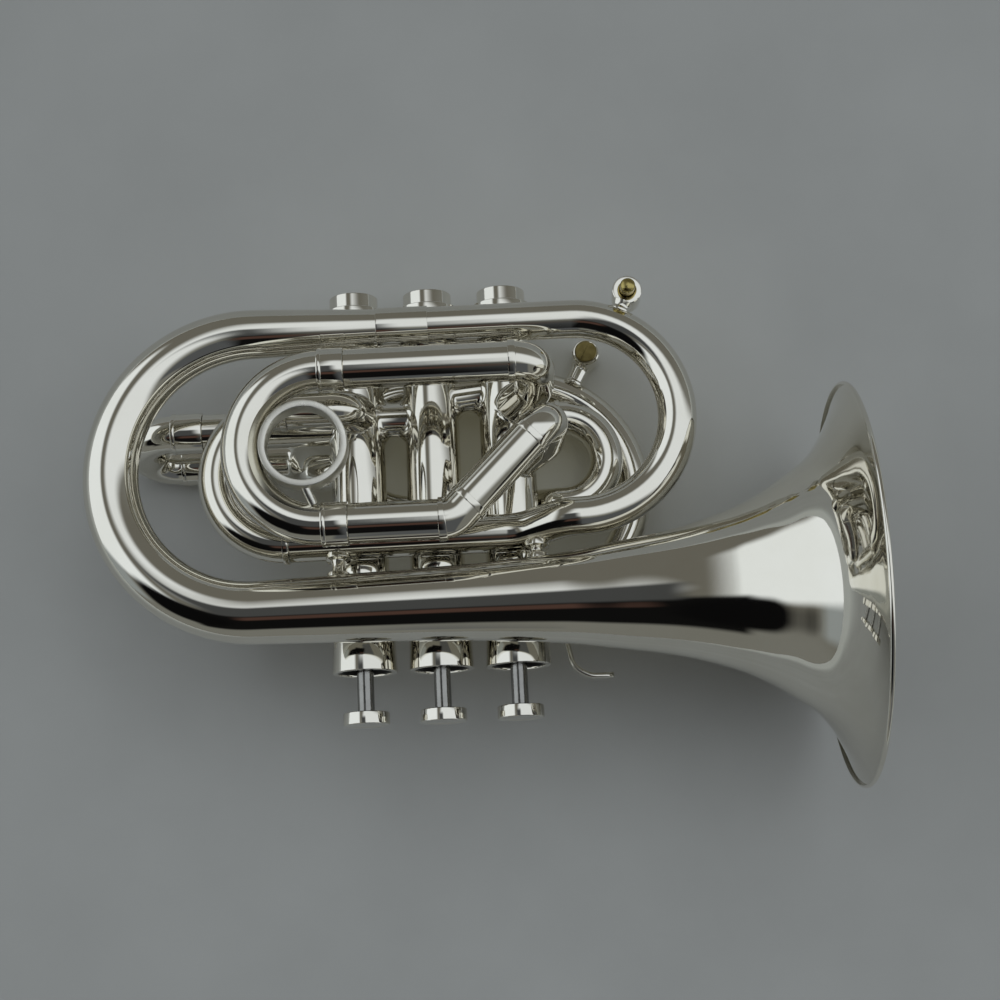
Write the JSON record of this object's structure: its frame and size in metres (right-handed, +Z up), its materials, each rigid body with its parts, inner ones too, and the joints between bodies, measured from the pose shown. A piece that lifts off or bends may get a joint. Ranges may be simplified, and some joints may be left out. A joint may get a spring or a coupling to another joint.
{
  "type": "pocket trumpet",
  "caption": "Compact silver-plated trumpet with piston valves, a wide bell, wrapped tubing, movable tuning and valve slides, a finger ring and push water keys.",
  "frame": {"origin": "middle of the bounding box at the floor the trumpet lies on", "axes": "+X to the bell's mouth, +Y from the finger buttons towards the bottom caps, +Z up with the third slide on the upper side"},
  "size_m": [0.248, 0.1696, 0.1303],
  "materials": {
    "silver_plate": "bright silver plate over brass",
    "brass": "bare turned brass",
    "felt": "pressed wool felt",
    "spring_steel": "drawn spring wire"
  },
  "bodies": {
    "trumpet": {"bell": "silver_plate", "bell_brace_1": "silver_plate", "bell_brace_2": "silver_plate", "bottom_cap_1": "silver_plate", "bottom_cap_2": "silver_plate", "bottom_cap_3": "silver_plate", "cap_felt_1": "felt", "cap_felt_2": "felt", "cap_felt_3": "felt", "first_far_sleeve": "silver_plate", "first_near_sleeve": "silver_plate", "knuckle_1_2": "silver_plate", "knuckle_2_3": "silver_plate", "leadpipe": "silver_plate", "leadpipe_brace": "silver_plate", "main_tube": "silver_plate", "mouthpiece_receiver": "silver_plate", "pinky_hook": "silver_plate", "rear_loop": "silver_plate", "second_lower_sleeve": "silver_plate", "second_upper_sleeve": "silver_plate", "small_crook": "silver_plate", "third_diagonal_elbow": "silver_plate", "third_diagonal_tube": "silver_plate", "third_lower_elbow": "silver_plate", "third_lower_sleeve": "silver_plate", "third_upper_elbow": "silver_plate", "third_upper_sleeve": "silver_plate", "top_cap_1": "silver_plate", "top_cap_2": "silver_plate", "top_cap_3": "silver_plate", "tuning_upper_sleeve": "silver_plate", "valve_casing_1": "silver_plate", "valve_casing_2": "silver_plate", "valve_casing_3": "silver_plate", "valve_guide_1": "brass", "valve_guide_2": "brass", "valve_guide_3": "brass", "water_key_body_1": "silver_plate", "water_key_body_2": "silver_plate", "water_key_screw_2": "brass"},
    "valve_1": {"piston_1": "silver_plate", "valve_stem_1": "silver_plate", "finger_button_1": "silver_plate", "valve_spring_1": "spring_steel"},
    "valve_2": {"piston_2": "silver_plate", "valve_stem_2": "silver_plate", "finger_button_2": "silver_plate", "valve_spring_2": "spring_steel"},
    "valve_3": {"piston_3": "silver_plate", "valve_stem_3": "silver_plate", "finger_button_3": "silver_plate", "valve_spring_3": "spring_steel"},
    "tuning_slide": {"tuning_slide_crook": "silver_plate"},
    "first_slide": {"first_slide_crook": "silver_plate"},
    "second_slide": {"second_slide_crook": "silver_plate"},
    "third_slide": {"third_slide_crook": "silver_plate", "finger_ring": "silver_plate"},
    "water_key_1": {"water_key_plunger_1": "brass"},
    "water_key_2": {"water_key_plunger_2": "brass"}
  },
  "joints": [
    {"name": "valve_1_press", "type": "slide", "parent": "trumpet", "child": "valve_1", "axis": [0, 0.9669, -0.2552], "range_m": [0, 0.0155], "stiffness_N_per_m": 120, "springref_m": -0.015, "deforming": ["valve_spring_1"]},
    {"name": "valve_2_press", "type": "slide", "parent": "trumpet", "child": "valve_2", "axis": [0, 0.9669, -0.2552], "range_m": [0, 0.0155], "stiffness_N_per_m": 120, "springref_m": -0.015, "deforming": ["valve_spring_2"]},
    {"name": "valve_3_press", "type": "slide", "parent": "trumpet", "child": "valve_3", "axis": [0, 0.9669, -0.2552], "range_m": [0, 0.0155], "stiffness_N_per_m": 120, "springref_m": -0.015, "deforming": ["valve_spring_3"]},
    {"name": "tuning_slide_pull", "type": "slide", "parent": "trumpet", "child": "tuning_slide", "axis": [-1, 0.0013, 0.0049], "range_m": [0, 0.01]},
    {"name": "first_slide_pull", "type": "slide", "parent": "trumpet", "child": "first_slide", "axis": [-1, 0.0013, 0.0049], "range_m": [0, 0.02]},
    {"name": "second_slide_pull", "type": "slide", "parent": "trumpet", "child": "second_slide", "axis": [-0.0051, -0.2552, -0.9669], "range_m": [0, 0.004]},
    {"name": "third_slide_pull", "type": "slide", "parent": "trumpet", "child": "third_slide", "axis": [-1, 0.0013, 0.0049], "range_m": [0, 0.02]},
    {"name": "water_key_1_press", "type": "slide", "parent": "trumpet", "child": "water_key_1", "axis": [-0.0051, -0.2552, -0.9669], "range_m": [0, 0.0025], "stiffness_N_per_m": 200, "springref_m": -0.004},
    {"name": "water_key_2_press", "type": "slide", "parent": "trumpet", "child": "water_key_2", "axis": [0.0051, 0.2552, 0.9669], "range_m": [0, 0.0025], "stiffness_N_per_m": 200, "springref_m": -0.004}
  ]
}
